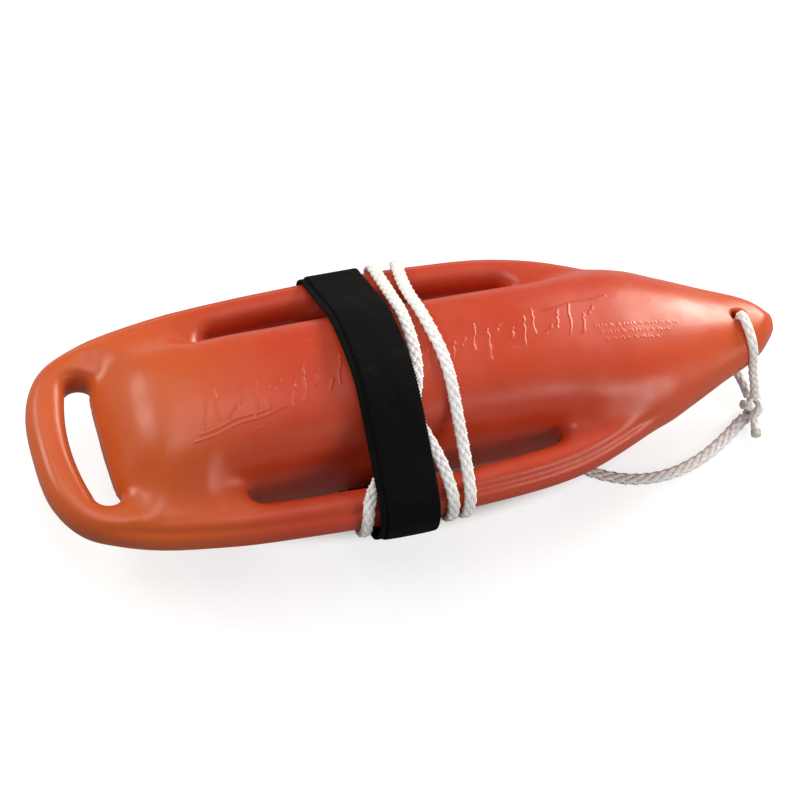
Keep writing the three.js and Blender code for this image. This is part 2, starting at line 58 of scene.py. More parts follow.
RIM_WIDTH = 0.033
RIM_HALF_THICKNESS = 0.019
RIM_OUTER_ROUND = (0.013, 0.016)  # seen from above and from the end
RIM_INNER_ROUND = (0.014, 0.016)
PAD_INSET = 0.0068  # the rim's raised top starts this far in from its widest line
PAD_STARTS, PAD_ENDS = (-0.335, -0.275), (0.19, 0.29)  # x over which that step comes and goes
BELT_HALF_THICKNESS = 0.0115
BELT_ROUND = (0.007, 0.008)
SLOT_REAR_X, SLOT_FRONT_X, SLOT_INNER_Y = -0.178, 0.120, 0.066
HANDLE_HALF_LENGTH = 0.068
HANDLE_REAR_X, HANDLE_FRONT_X = -HALF_LENGTH + 0.034, -0.290
NOSE_HOLE_X, NOSE_HOLE_RADIUS, NOSE_HOLE_ROUND = 0.319, 0.007, 0.0035
VENT_X, VENT_RADIUS, VENT_DEPTH = -0.113, 0.0072, 0.012
FILLET = 0.009  # from dome to rim
REAR_FILLET, NOSE_FILLET = 0.030, 0.010  # what open deck adds to it
UNEVENNESS = 0.00016  # slow waves of a moulded surface

ROPE_WIDTH, ROPE_THICKNESS, LOOP_DIAMETER = 0.013, 0.0065, 0.0096
ROPE_CLEARANCE, ROPE_GAP = 0.0004, 0.0003  # to the hull, and between rope and rope
ROPE_LAYER = 0.0083  # from the wrap line to the strap, over one rope
WEBBING_WIDTH, WEBBING_THICKNESS = 0.050, 0.0018
WEAVE_PITCH, SELVEDGE_WAVE = 0.0032, 0.00045
STRAP_X, LAYER_SHIFT = -0.0445, 0.007
RIM_STANDOFF = 0.0013  # between the strap and the left rim
STRAP_START, STRAP_END, SEAM_TURN, KNOT_TURN = -0.115, 0.855, 0.655, 0.87
FOOT_HALF_WIDTH = 0.019  # of the strap where it lies flat on the ground
NOSE_KNOT = Vector((0.336, -0.044, 0.013))
NOSE_TAIL_END = Vector((0.332, -0.067, 0.0085))
STRAP_TAIL = Vector((-0.030, 0.006, -0.002))

# Half width of the hull seen from above, from the rear end to the nose
OUTLINE = [
    (-0.3555, 0), (-0.350, 0.053), (-0.330, 0.086), (-0.290, 0.108), (-0.210, 0.1245), (-0.100, 0.1315),
    (0.020, 0.132), (0.130, 0.120), (0.220, 0.084), (0.290, 0.049), (0.335, 0.0265), (0.3555, 0),
]

# The dome: x, half width, half height and the power of its superelliptic section
DOME = [
    (-0.2906, 0.054, 0.009, 2.4), (-0.279, 0.062, 0.029, 2.5), (-0.259, 0.069, 0.049, 2.6),
    (-0.234, 0.072, 0.0605, 2.8), (-0.200, 0.073, 0.0665, 2.9), (-0.130, 0.073, 0.070, 2.9),
    (0.020, 0.073, 0.070, 2.9), (0.090, 0.073, 0.0685, 2.9), (0.130, 0.075, 0.066, 2.7),
    (0.170, 0.081, 0.061, 2.5), (0.200, 0.082, 0.057, 2.4), (0.225, 0.0785, 0.052, 2.3),
    (0.255, 0.066, 0.0455, 2.2), (0.290, 0.048, 0.035, 2.2), (0.320, 0.033, 0.0255, 2.2),
    (0.340, 0.022, 0.018, 2.2), (0.352, 0.010, 0.009, 2.2),
]


# ---- Camera ----
CAMERA_AZIMUTH, CAMERA_ELEVATION, CAMERA_ROLL = -25.6, 54.97, 11.03  # degrees
CAMERA_DISTANCE = 3.5


def make_camera():
    data = bpy.data.cameras.new("camera")
    data.lens = 170.97
    data.shift_x, data.shift_y = -0.0136, -0.0124
    data.clip_start, data.clip_end = 0.1, 60
    camera = bpy.data.objects.new("camera", data)
    bpy.context.scene.collection.objects.link(camera)
    facing = (
        Matrix.Rotation(math.radians(CAMERA_AZIMUTH), 4, "Z")
        @ Matrix.Rotation(math.radians(90 - CAMERA_ELEVATION), 4, "X")
        @ Matrix.Rotation(math.radians(CAMERA_ROLL), 4, "Z")
    )
    place = CENTRE + facing.col[2].xyz * CAMERA_DISTANCE
    camera.matrix_world = Matrix.Translation(place) @ facing
    bpy.context.scene.camera = camera


make_camera()


# ---- Small helpers ----
def smooth_step(low, high, value):
    t = np.clip((value - low) / (high - low), 0, 1)
    return t * t * (3 - 2 * t)


def unit(vectors):
    vectors = np.asarray(vectors, float)
    return vectors / np.maximum(np.linalg.norm(vectors, axis=-1, keepdims=True), 1e-12)


def smooth_line(points, per_span, closed=False, power=0.5):
    """Points of a Catmull-Rom curve through points; power 0.5 is centripetal and 0 is uniform."""
    p = np.asarray(points, float)
    if closed:
        padded = np.vstack([p[-1:], p, p[:2]])
    else:
        padded = np.vstack([2 * p[:1] - p[1:2], p, 2 * p[-1:] - p[-2:-1]])
    gaps = np.linalg.norm(np.diff(padded, axis=0), axis=1)[:, None] ** power
    a, b, c, d = padded[:-3], padded[1:-2], padded[2:-1], padded[3:]
    g0, g1, g2 = gaps[:-2], gaps[1:-1], gaps[2:]
    start = ((b - a) / g0 - (c - a) / (g0 + g1) + (c - b) / g1) * g1
    end = ((c - b) / g1 - (d - b) / (g1 + g2) + (d - c) / g2) * g1
    t = (np.arange(per_span) / per_span)[None, :, None]
    b, c, start, end = (v[:, None, :] for v in (b, c, start, end))
    curve = b + start * t + (3 * (c - b) - 2 * start - end) * t**2 + (2 * (b - c) + start + end) * t**3
    curve = curve.reshape(-1, p.shape[1])
    return curve if closed else np.vstack([curve, p[-1:]])


def lengths_along(points):
    steps = np.linalg.norm(np.diff(points, axis=0), axis=1)
    return np.concatenate([[0], np.cumsum(steps)])


def resample(points, step, *others):
    """points at an even step, and others, arrays that go with them, read at the same places."""
    along = lengths_along(points)
    at = np.linspace(0, along[-1], max(2, round(along[-1] / step) + 1))
    return [np.column_stack([np.interp(at, along, v) for v in np.asarray(a).T]) for a in (points, *others)]


def soften(values, passes):
    """Averages each row with its neighbours; the first and last rows stay."""
    values = values.copy()
    for _ in range(passes):
        values[1:-1] = 0.25 * values[:-2] + 0.5 * values[1:-1] + 0.25 * values[2:]
    return values


def tube_faces(rings, sides, first=0, closed=False):
    """Faces of a tube whose rings of vertices follow each other; an open one is capped."""
    last = rings if closed else rings - 1
    i, j = np.meshgrid(np.arange(last), np.arange(sides), indexing="ij")
    i2, j2 = (i + 1) % rings, (j + 1) % sides
    quads = np.stack([i * sides + j, i * sides + j2, i2 * sides + j2, i2 * sides + j], -1)
    faces = (quads.reshape(-1, 4) + first).tolist()
    if not closed:
        faces.append(list(range(first + sides - 1, first - 1, -1)))
        end = first + (rings - 1) * sides
        faces.append(list(range(end, end + sides)))
    return faces


def make_piece(name, vertices, faces, material, nodes):
    mesh = bpy.data.meshes.new(name)
    mesh.from_pydata(np.asarray(vertices).tolist(), [], faces)
    mesh.update()
    mesh.shade_smooth()
    mesh.materials.append(material)
    piece = bpy.data.objects.new(name, mesh)
    bpy.context.scene.collection.objects.link(piece)
    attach(piece, "root")
    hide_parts(*nodes)
    return piece


def set_uv(piece, name, places):
    """Gives every face corner the texture place of its vertex."""
    layer = piece.data.uv_layers.new(name=name)
    corners = np.empty(len(piece.data.loops), int)
    piece.data.loops.foreach_get("vertex_index", corners)
    layer.data.foreach_set("uv", places[corners].ravel().astype(np.float32))


# ---- Hull form ----
def read_table(table, column, x):
    """Column of a table of rows that start with x, by smooth interpolation that never overshoots."""
    rows = np.array(table)
    xs, values = rows[:, 0], rows[:, column]
    secants = np.diff(values) / np.diff(xs)
    before, after = secants[:-1], secants[1:]
    same_way = before * after > 0
    inner = np.where(same_way, 2 * before * after / np.where(same_way, before + after, 1), 0)
    slopes = np.concatenate([secants[:1], inner, secants[-1:]])
    x = np.clip(x, xs[0], xs[-1])
    i = np.clip(np.searchsorted(xs, x, side="right") - 1, 0, len(xs) - 2)
    span = xs[i + 1] - xs[i]
    t = (x - xs[i]) / span
    rise = t * t * (3 - 2 * t)
    bend = slopes[i] * t * (1 - t) ** 2 - slopes[i + 1] * t * t * (1 - t)
    return values[i] * (1 - rise) + values[i + 1] * rise + span * bend


def outline_ring():
    other_half = [(x, -y) for x, y in OUTLINE[-2:0:-1]]
    return smooth_line(OUTLINE + other_half, 24, closed=True)


RING = outline_ring()
LEFT_SIDE = RING[RING[:, 1] >= 0]
LEFT_SIDE = LEFT_SIDE[np.argsort(LEFT_SIDE[:, 0])]


def half_width(x):
    return np.interp(x, LEFT_SIDE[:, 0], LEFT_SIDE[:, 1])


def slot_ring(start, end, rounding, low, high, swap=False):
    """A slot with rounded ends; low(s) and high(s) are its two sides at s, from start to end."""
    quarter = rounding * (1 - np.cos(np.linspace(0, math.pi / 2, 12)))
    straight = np.linspace(start + rounding, end - rounding, 40)[1:-1]
    s = np.concatenate([start + quarter, straight, (end - quarter)[::-1]])
    depth = np.clip(np.minimum(s - start, end - s) / rounding, 0, 1)
    opening = np.sqrt(1 - (1 - depth) ** 2)
    inner = np.clip(s, start + rounding, end - rounding)
    middle, half = (low(inner) + high(inner)) / 2, (high(inner) - low(inner)) / 2
    near = np.column_stack([s, middle - half * opening])
    far = np.column_stack([s, middle + half * opening])[-2:0:-1]
    ring = np.vstack([near, far])
    return ring[:, ::-1] if swap else ring


def plan_distance(ring, x, y):
    """Signed distance in the plan to a closed ring, negative inside."""
    nearest = np.full(x.shape, 1e9)
    inside = np.zeros(x.shape, bool)
    for a, b in zip(ring, np.roll(ring, -1, axis=0)):
        edge = b - a
        t = np.clip(((x - a[0]) * edge[0] + (y - a[1]) * edge[1]) / (edge @ edge), 0, 1)
        nearest = np.minimum(nearest, (x - a[0] - t * edge[0]) ** 2 + (y - a[1] - t * edge[1]) ** 2)
        if a[1] != b[1]:
            crosses = (a[1] > y) != (b[1] > y)
            inside ^= crosses & (x < a[0] + (y - a[1]) * edge[0] / edge[1])
    return np.where(inside, -1, 1) * np.sqrt(nearest)


class Plan:
    """Distances in the plan to the outline and the slots, kept on a fine grid."""

    def __init__(self, step=0.0015):
        self.step = step
        self.low = np.array([-HALF_LENGTH - 0.012, -0.003])
        xs = np.arange(self.low[0], HALF_LENGTH + 0.012, step)
        ys = np.arange(self.low[1], 0.146, step)
        x, y = np.meshgrid(xs, ys, indexing="ij")
        side_slot = slot_ring(
            SLOT_REAR_X, SLOT_FRONT_X, 0.015,
            lambda s: np.full(s.shape, SLOT_INNER_Y),
            lambda s: half_width(s) - RIM_WIDTH,
        )
        rear_slot = slot_ring(
            -HANDLE_HALF_LENGTH, HANDLE_HALF_LENGTH, 0.013,
            lambda s: HANDLE_REAR_X + 0.011 * (s / HANDLE_HALF_LENGTH) ** 2,
            lambda s: HANDLE_FRONT_X + 0.004 * (s / HANDLE_HALF_LENGTH) ** 2,
            swap=True,
        )
        self.grids = np.stack([plan_distance(ring, x, y) for ring in (RING, side_slot, rear_slot)])

    def read(self, x, y):
        places = ((x - self.low[0]) / self.step, (np.abs(y) - self.low[1]) / self.step)
        i, j = (np.clip(p.astype(int), 0, n - 2) for p, n in zip(places, self.grids.shape[1:]))
        u, v = places[0] - i, places[1] - j
        g = self.grids
        near = g[:, i, j] * (1 - v) + g[:, i, j + 1] * v
        far = g[:, i + 1, j] * (1 - v) + g[:, i + 1, j + 1] * v
        return near * (1 - u) + far * u


PLAN = Plan()


def smooth_min(a, b, blend):
    near = np.maximum(blend - np.abs(a - b), 0) / blend
    return np.minimum(a, b) - near * near * blend / 4


def rounded_edge(across, height, half_thickness, rounding, scale=None):
    """A flat plate's edge rounded by an ellipse; across is the distance past the edge in the plan."""
    plan_round, height_round = rounding
    a = (across + plan_round) / plan_round
    b = (height - half_thickness + height_round) / height_round
    outside = np.hypot(np.maximum(a, 0), np.maximum(b, 0))
    size = np.where((a < 0) & (b < 0), np.maximum(a, b), outside)
    return (size - 1) * ((plan_round + height_round) / 2 if scale is None else scale)


def dome_distance(x, y, z):
    reach = 0.0005
    width, height, power = (read_table(DOME, column, x) for column in (1, 2, 3))
    # Where the ends close up, the slopes are held back so that far places still read as far
    steepness = []
    for column, size in ((1, width), (2, height)):
        rise = read_table(DOME, column, x + reach) - read_table(DOME, column, x - reach)
        steepness.append(np.clip(rise / (2 * reach) / size, -30, 30))
    u, v = np.abs(y) / width + 1e-6, np.abs(z) / height + 1e-6
    u_power, v_power = u**power, v**power
    total = u_power + v_power
    size = total ** (1 / power)
    outward = size / total * np.sqrt(
        (u_power / u / width) ** 2
        + (v_power / v / height) ** 2
        + (u_power * steepness[0] + v_power * steepness[1]) ** 2
    )
    body = (size - 1) / outward
    return np.maximum(body, np.maximum(DOME[0][0] - x, x - DOME[-1][0]))


def hull_value(x, y, z):
    """Roughly the distance to the hull's surface, negative inside."""
    outline, side_slot, rear_slot = PLAN.read(x, y)
    height = np.abs(z)
    # The rim's top is a raised pad, and a lower belt stands proud of it at the parting plane
    crease = smooth_step(*PAD_STARTS, x) * (1 - smooth_step(*PAD_ENDS, x))
    pad_round = (RIM_OUTER_ROUND[0] - 0.005 * crease, RIM_OUTER_ROUND[1] - 0.007 * crease)
    pad = rounded_edge(outline + PAD_INSET * crease, height, RIM_HALF_THICKNESS, pad_round, pad_round[1])
    belt = rounded_edge(outline, height, BELT_HALF_THICKNESS, BELT_ROUND)
    rim = smooth_min(belt, pad, 0.0025)
    rim = np.maximum(rim, rounded_edge(-side_slot, height, RIM_HALF_THICKNESS, RIM_INNER_ROUND))
    rim = np.maximum(rim, rounded_edge(-rear_slot, height, RIM_HALF_THICKNESS, RIM_INNER_ROUND))
    # The dome runs into the frame in a wide fillet, and in a tight one beside the openings
    open_deck = smooth_step(0.004, 0.042, np.minimum(side_slot, rear_slot)) * smooth_step(0, 0.02, -outline)
    wide = REAR_FILLET * (1 - smooth_step(-0.02, 0.10, x)) + NOSE_FILLET * (1 - smooth_step(0.20, 0.28, x))
    body = smooth_min(dome_distance(x, y, z), rim, FILLET + wide * open_deck)
    nose_hole = NOSE_HOLE_RADIUS - np.hypot(x - NOSE_HOLE_X, y)
    vent = np.minimum(VENT_RADIUS - np.hypot(x - VENT_X, y), -z - DOME_HALF_HEIGHT + VENT_DEPTH)
    body = -smooth_min(-body, -nose_hole, NOSE_HOLE_ROUND)
    body = np.maximum(body, vent)
    waves = np.sin(38 * x + 1.3) * np.sin(51 * y + 0.4) + 0.6 * np.sin(83 * x - 41 * y + 2.1)
    return body + UNEVENNESS * waves


def hull_gradient(p, reach=0.0004):
    steps = np.eye(3) * reach
    return np.column_stack([hull_value(*(p + s).T) - hull_value(*(p - s).T) for s in steps]) / (2 * reach)


def settle(p, rounds=2):
    """Moves points onto the hull's surface."""
    for _ in range(rounds):
        slope = hull_gradient(p)
        move = hull_value(*p.T) / np.maximum((slope**2).sum(1), 0.05)
        p = p - np.clip(move, -0.002, 0.002)[:, None] * slope
    return p


def surface_net(values, low, step):
    """Vertices and quads of the surface where values, on an even grid, are zero."""
    inside = values < 0
    nx, ny, nz = (n - 1 for n in inside.shape)
    count = sum(
        inside[i:nx + i, j:ny + j, k:nz + k].astype(np.uint8)
        for i in (0, 1) for j in (0, 1) for k in (0, 1)
    )
    cells = np.argwhere((count > 0) & (count < 8))
    number = np.full(count.shape, -1, np.int64)
    number[tuple(cells.T)] = np.arange(len(cells))
    total, hits = np.zeros((len(cells), 3)), np.zeros(len(cells))
    quads = []
    for axis in range(3):
        ahead = np.eye(3, dtype=int)[axis]
        one, two = (np.eye(3, dtype=int)[n] for n in range(3) if n != axis)
        for u in (0, 1):
            for v in (0, 1):
                start = u * one + v * two
                a, b = (values[tuple((cells + offset).T)] for offset in (start, start + ahead))
                crossed = (a < 0) != (b < 0)
                t = np.where(crossed, a / np.where(crossed, a - b, 1), 0)
                total += crossed[:, None] * (start + t[:, None] * ahead)
                hits += crossed
        edge_from = np.take(inside, range(inside.shape[axis] - 1), axis)
        edge_to = np.take(inside, range(1, inside.shape[axis]), axis)
        edges = np.argwhere(edge_from != edge_to)
        ring = np.stack([number[tuple((edges - offset).T)] for offset in (one + two, two, 0 * one, one)], 1)
        leaving = edge_from[tuple(edges.T)]
        turned = leaving if axis != 1 else ~leaving
        quads.append(np.where(turned[:, None], ring, ring[:, ::-1]))
    return low + (cells + total / hits[:, None]) * step, np.vstack(quads)


def hull_net(step=0.0028):
    low = np.array([-HALF_LENGTH - 0.004, -0.1365, -DOME_HALF_HEIGHT - 0.003])
    counts = np.ceil(-2 * low / step).astype(int) + 1
    xs, ys, zs = (low[n] + step * np.arange(counts[n]) for n in range(3))
    values = np.empty(counts)
    for i, x in enumerate(xs):
        y, z = np.meshgrid(ys, zs, indexing="ij")
        values[i] = hull_value(np.full(y.shape, x), y, z)
    return surface_net(values, low, step)


# ---- Raised pattern on the deck: plain slanted strokes, wavy lines and rows of dashes ----
def relief_lines():
    """The strokes and wavy lines, and the smaller dashes."""
    lines, dashes = [], []
    rise = np.linspace(-1, 1, 9)
    for i, x in enumerate(np.arange(-0.207, 0.178, 0.0118)):
        middle = -0.024 + 0.080 * (x + 0.2) + 0.007 * math.sin(2.4 * i)
        half = 0.011 + 0.007 * math.sin(1.7 * i + 0.8)
        lean = 0.0035 + 0.0012 * math.cos(2.9 * i)
        jitter = 0.0009 * np.sin(5.1 * i + 7 * rise**2 + 4.3 * rise)
        lines.append(np.column_stack([x + lean * rise + jitter, middle + half * rise]))
    for start, end, y in ((-0.222, -0.135, -0.049), (-0.216, -0.155, -0.0435), (0.125, 0.190, 0.018)):
        x = np.linspace(start, end, 30)
        lines.append(np.column_stack([x, y + 0.15 * (x - start) + 0.0009 * np.sin(130 * x)]))
    for row in range(3):
        for k in range(24 - 4 * row):
            x = 0.168 + 0.0036 * k + 0.003 * row + 0.0006 * math.sin(2.3 * k + row)
            y = -0.007 - 0.0075 * row - 0.02 * (x - 0.2)
            tall = 0.0010 + 0.0005 * math.sin(1.9 * k + 2 * row)
            dashes.append(np.array([(x, y - tall), (x + 0.0010 * math.cos(3.1 * k), y + tall)]))
    return lines, dashes


def line_distance(lines, x, y):
    nearest = np.full(x.shape, 1e9)
    for line in lines:
        for a, b in zip(line[:-1], line[1:]):
            close = (np.abs(x - (a[0] + b[0]) / 2) < 0.022) & (np.abs(y - (a[1] + b[1]) / 2) < 0.022)
            edge = b - a
            px, py = x[close] - a[0], y[close] - a[1]
            t = np.clip((px * edge[0] + py * edge[1]) / (edge @ edge), 0, 1)
            nearest[close] = np.minimum(nearest[close], np.hypot(px - t * edge[0], py - t * edge[1]))
    return nearest


def refine(mesh, chosen, cuts):
    """Splits the edges of the faces that chosen picks, by the array of their middles."""
    bm = bmesh.new()
    bm.from_mesh(mesh)
    bm.faces.ensure_lookup_table()
    middles = np.array([f.calc_center_median() for f in bm.faces])
    picked = np.flatnonzero(chosen(middles))
    edges = list({e for n in picked for e in bm.faces[n].edges})
    bmesh.ops.subdivide_edges(bm, edges=edges, cuts=cuts, use_grid_fill=True)
    bm.to_mesh(mesh)
    bm.free()


def build_hull():
    vertices, quads = hull_net()
    hull = make_piece(
        "hull_shell", settle(vertices), quads.tolist(), MATERIALS["hull"], ["hull"]
    )
    mesh = hull.data
    lines, dashes = relief_lines()
    deck_height = 0.03

    def by_marks(m):
        return (m[:, 2] > deck_height) & (line_distance(lines + dashes, m[:, 0], m[:, 1]) < 0.0025)

    refine(mesh, lambda m: np.hypot(m[:, 0] - NOSE_HOLE_X, m[:, 1]) < 0.012, 1)
    refine(mesh, by_marks, 3)
    flat = np.empty(len(mesh.vertices) * 3)
    mesh.vertices.foreach_get("co", flat)
    points = settle(flat.reshape(-1, 3))
    top = points[:, 2] > deck_height
    ridge = np.zeros(len(points))
    for marks, height, reach in ((lines, 0.0005, 0.0012), (dashes, 0.00022, 0.0008)):
        near = 1 - smooth_step(0.0002, reach, line_distance(marks, points[top, 0], points[top, 1]))
        ridge[top] = np.maximum(ridge[top], height * near)
    points = points + unit(hull_gradient(points)) * ridge[:, None]
    points[:, 2] += MID_Z
    mesh.vertices.foreach_set("co", points.ravel())
    mesh.update()


# ---- The line that a taut wrap follows round the hull ----
@functools.lru_cache(maxsize=None)
def wrap_line(x):
    """Convex line round the section at x, from the left edge over the top, and its lengths."""
    angle = np.linspace(0, math.pi / 2, 40)
    width, height, power = (float(read_table(DOME, column, x)) for column in (1, 2, 3))
    dome = np.column_stack([width * np.cos(angle) ** (2 / power), height * np.sin(angle) ** (2 / power)])
    arc = angle[::3]
    plan_round, height_round = 0.012, 0.015
    rim = np.column_stack([
        half_width(x) - plan_round * (1 - np.cos(arc)),
        RIM_HALF_THICKNESS - height_round * (1 - np.sin(arc)),
    ])
    quarter = np.vstack([dome, rim])
    ring = np.vstack([quarter * s for s in ((1, 1), (-1, 1), (1, -1), (-1, -1))])
    ring = ring[convex_hull_2d(ring.tolist())]
    start = np.array([half_width(x), 0.0])
    angles = np.mod(np.arctan2(ring[:, 1], ring[:, 0]), 2 * math.pi)
    ring = ring[np.argsort(angles)]
    ring = np.vstack([start, ring[np.abs(ring - start).max(1) > 1e-6], start])
    return ring, lengths_along(ring)


def wrap_point(x, turn, offset):
    """Point at a share of the way round (0 left edge, 0.25 top, 0.5 right edge), and its outward normal."""
    ring, lengths = wrap_line(round(float(x), 5))

    def at(share):
        s = (share % 1) * lengths[-1]
        return np.array([np.interp(s, lengths, ring[:, 0]), np.interp(s, lengths, ring[:, 1])])

    reach = 0.006
    along = unit(at(turn + reach) - at(turn - reach))
    normal = np.array([0, along[1], -along[0]])
    y, z = at(turn)
    return np.array([x, y, z + MID_Z]) + normal * offset, normal


def dome_point(x, angle, offset):
    """Point on the dome's own section at an angle from its left edge, and its outward normal."""
    width, height, power = (float(read_table(DOME, column, x)) for column in (1, 2, 3))

    def at(a):
        c, s = math.cos(a), math.sin(a)
        return np.array([width * c ** (2 / power), height * math.copysign(abs(s) ** (2 / power), s)])

    reach = 0.03
    along = unit(at(angle + reach) - at(angle - reach))
    normal = np.array([0, along[1], -along[0]])
    y, z = at(angle)
    return np.array([x, y, z + MID_Z]) + normal * offset, normal


# ---- Tow line: from the nose knot along the ground, then wound round the hull ----
FLOOR_RUN = [
    (0.328, -0.0495), (0.322, -0.053), (0.311, -0.061), (0.296, -0.071), (0.276, -0.082), (0.252, -0.091),
    (0.226, -0.095), (0.201, -0.0925), (0.178, -0.084), (0.158, -0.071), (0.140, -0.054), (0.124, -0.034),
    (0.111, -0.014),
]
# Share of the way round, and x
WINDING_TO_SLOT = [
    (-0.235, 0.096), (-0.17, 0.074), (-0.1, 0.052), (-0.04, 0.035), (0, 0.026), (0.04, 0.0203), (0.08, 0.016),
    (0.12, 0.0133), (0.16, 0.0122), (0.2, 0.013), (0.25, 0.0166), (0.29, 0.018), (0.34, 0.0176),
    (0.42, 0.017), (0.46, 0.0162), (0.5, 0.0145), (0.54, 0.0138), (0.62, 0.0118), (0.72, 0.0075),
    (0.82, 0.0034), (0.92, 0.0002), (1, -0.0012), (1.08, -0.0026), (1.17, -0.0044), (1.24, -0.0056),
    (1.28, -0.0086), (1.31, -0.014), (1.35, -0.025), (1.39, -0.042), (1.43, -0.064), (1.45, -0.074),
    (1.47, -0.0795), (1.49, -0.0815), (1.52, -0.0815), (1.6, -0.079), (1.7, -0.0755), (1.77, -0.073),
]
# Up through the left handle slot, close to the dome: angle on the dome's section (degrees) and x
SLOT_PASS = ((-70, -0.0715), (70, -0.0455))
# Share of the way round, x, and how many strands lie beneath
WINDING_FROM_SLOT = [
    (2.21, -0.043, 0), (2.25, -0.0385, 0), (2.28, -0.0345, 0.4), (2.33, -0.027, 1), (2.37, -0.0195, 1),
    (2.4, -0.0115, 0.5), (2.43, -0.0052, 0.1), (2.46, -0.0018, 0), (2.5, -0.0005, 0), (2.56, -0.002, 0),
    (2.64, -0.010, 0), (2.72, -0.020, 0), (2.8, -0.031, 0), (2.85, -0.038, 0), (2.88, -0.041, 0),
]
# The loop through the nose hole: up from the knot, over the nose, down the hole and back to the knot
NOSE_LOOP = [
    (0.336, -0.042, 0.028), (0.3345, -0.041, 0.038), (0.332, -0.040, 0.050), (0.329, -0.0386, 0.063),
    (0.3265, -0.0376, 0.076), (0.325, -0.037, 0.088), (0.324, -0.0336, 0.0985), (0.323, -0.026, 0.1065),
    (0.3218, -0.018, 0.111), (0.3208, -0.009, 0.1134), (0.3202, -0.0026, 0.112), (0.3202, -0.0014, 0.104),
    (0.3202, -0.0014, 0.082), (0.3202, -0.0014, 0.056), (0.321, -0.004, 0.047), (0.3245, -0.013, 0.037),
    (0.330, -0.026, 0.028), (0.3333, -0.0362, 0.020),
]


def tow_route():
    standoff = ROPE_CLEARANCE + ROPE_THICKNESS / 2
    floor_height = ROPE_THICKNESS / 2 + ROPE_GAP
    places = [(np.array([x, y, floor_height]), np.array([0.0, 0, -1])) for x, y in FLOOR_RUN]

    def wind(table):
        for turn, x, beneath in smooth_line(table, 6, power=0):
            places.append(wrap_point(x, turn, standoff + beneath * (ROPE_THICKNESS + ROPE_GAP)))

    wind([(turn, x, 0) for turn, x in WINDING_TO_SLOT])
    (first_angle, first_x), (last_angle, last_x) = SLOT_PASS
    for share in np.linspace(0, 1, 13):
        angle = math.radians(first_angle + (last_angle - first_angle) * share)
        places.append(dome_point(first_x + (last_x - first_x) * share, angle, standoff))
    wind(WINDING_FROM_SLOT)
    line = smooth_line(np.array([np.concatenate(place) for place in places]), 6)
    line, outward = resample(line[:, :3], 0.0013, line[:, 3:])
    return soften(line, 8), unit(soften(outward, 60))


def loop_route():
    line = resample(smooth_line(NOSE_LOOP, 12), 0.0013)[0]
    line = soften(line, 8)
    tangents = unit(np.gradient(line, axis=0))
    return line, unit(np.cross(tangents, np.cross([1.0, 0.35, 0.2], tangents)))


# ---- Braid ----
CARRIERS = 4  # strands that turn each way
BRAID_PITCH = 0.042
STRAND_RISE = 0.00062
STRAND_HALF_THICKNESS = 0.00085
# A strand's section: place across it and height, as shares
STRAND_SECTION = [(-0.475, -0.2), (-0.33, 0.62), (0, 1), (0.33, 0.62), (0.475, -0.2), (0, -0.9)]


def braid_mesh(line, outward, half_width, half_thickness):
    """Woven strands round a core, as vertices, faces and texture places."""
    tangents = unit(np.gradient(line, axis=0))
    normals = unit(outward - (outward * tangents).sum(1)[:, None] * tangents)
    sideways = np.cross(tangents, normals)
    along = lengths_along(line)
    depth = STRAND_RISE + STRAND_HALF_THICKNESS
    wide, thin = half_width - depth, half_thickness - depth
    fine = np.linspace(0, 2 * math.pi, 721)
    arc = lengths_along(np.column_stack([thin * np.cos(fine), wide * np.sin(fine)]))
    arc /= arc[-1]

    def on_core(share, lift):
        """share (points, sides) of the way round the section, lifted off the core."""
        angle = np.interp(share % 1, arc, fine)
        c, s = np.cos(angle), np.sin(angle)
        scale = np.hypot(c / thin, s / wide)
        out, side = c / thin / scale, s / wide / scale
        a, b = thin * c + lift * out, wide * s + lift * side
        return line[:, None] + a[..., None] * normals[:, None] + b[..., None] * sideways[:, None]

    across, height = np.array(STRAND_SECTION).T
    vertices, faces, places = [], [], []
    sides, along = len(STRAND_SECTION), along[:, None]
    for way in (1, -1):
        for k in range(CARRIERS):
            share = (k + way * across) / CARRIERS + way * along / BRAID_PITCH
            weave = way * np.cos(math.pi * (across + 2 * CARRIERS * along / BRAID_PITCH))
            uneven = 0.08 * np.sin(along * 310 + 2.4 * k + way)
            ring = on_core(share, STRAND_RISE * (weave + uneven) + STRAND_HALF_THICKNESS * height)
            place = np.stack(np.broadcast_arrays(across + 3 * k + 20 * (way > 0), along), -1)
            faces += tube_faces(len(line), sides, len(vertices) * len(line) * sides)
            # The strands that turn back run round the section the other way, so that all face out
            vertices.append(ring[:, ::way].reshape(-1, 3))
            places.append(place[:, ::way].reshape(-1, 2))
    # A core keeps light from passing between the strands
    middle, out, side = (v[::4, None] for v in (line, normals, sideways))
    turn = (np.arange(10) * math.pi / 5)[None, :, None]
    core = middle + thin * np.cos(turn) * out + wide * np.sin(turn) * side
    faces += tube_faces(len(core), 10, len(vertices) * len(line) * sides)
    vertices.append(core.reshape(-1, 3))
    places.append(np.zeros((len(core) * 10, 2)))
    return np.vstack(vertices), faces, np.vstack(places)


def make_rope(name, line, outward, half_width, half_thickness, nodes):
    vertices, faces, places = braid_mesh(line, outward, half_width, half_thickness)
    rope = make_piece(name, vertices, faces, MATERIALS["rope"], nodes)
    set_uv(rope, "strand", places)
    return rope


